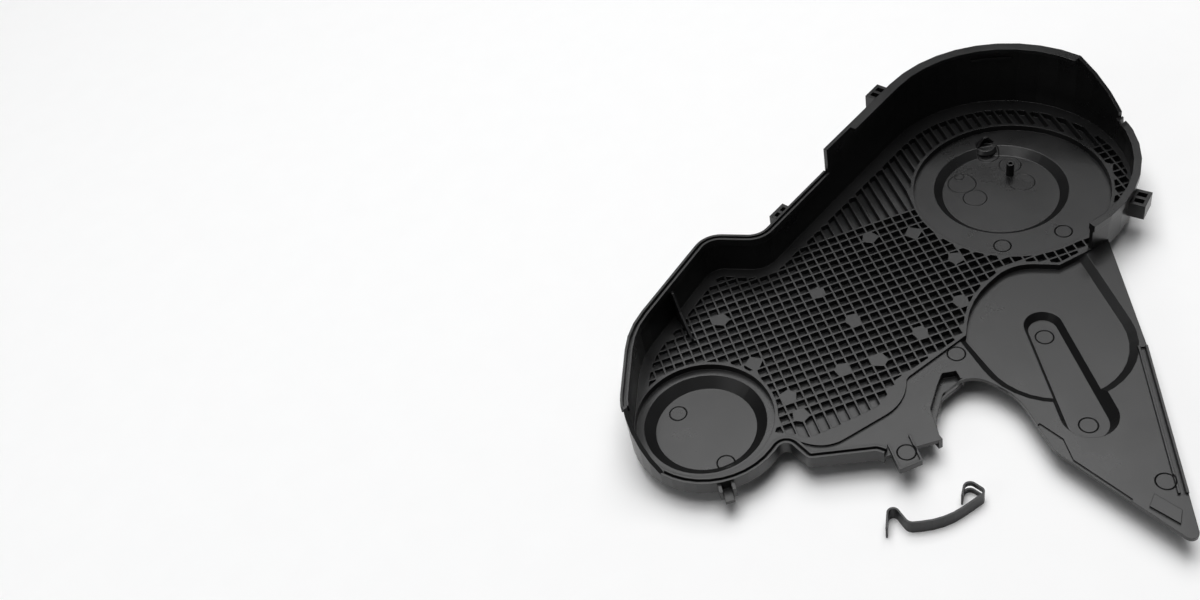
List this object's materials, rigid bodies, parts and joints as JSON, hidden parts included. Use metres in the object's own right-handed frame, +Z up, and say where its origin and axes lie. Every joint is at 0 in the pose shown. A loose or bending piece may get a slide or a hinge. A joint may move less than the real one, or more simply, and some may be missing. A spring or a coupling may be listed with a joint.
{
  "type": "timing belt cover",
  "caption": "Upper timing-belt cover of a car engine, one black moulding seen from its ribbed inner side, with the steel spring clip that holds it lying apart.",
  "frame": {"origin": "centre of the bounding box in plan, at its lowest level", "axes": "+X from the small lobe to the large lobe, +Y towards the tall wall, +Z up, from the outer face to the open side"},
  "size_m": [0.3982, 0.3366, 0.0665],
  "materials": {
    "black_plastic": "satin moulded thermoplastic with a fine grain",
    "spring_steel": "black-oxidised spring steel strip"
  },
  "bodies": {
    "root": {"cover": "black_plastic", "spring_clip": "spring_steel"}
  },
  "joints": []
}
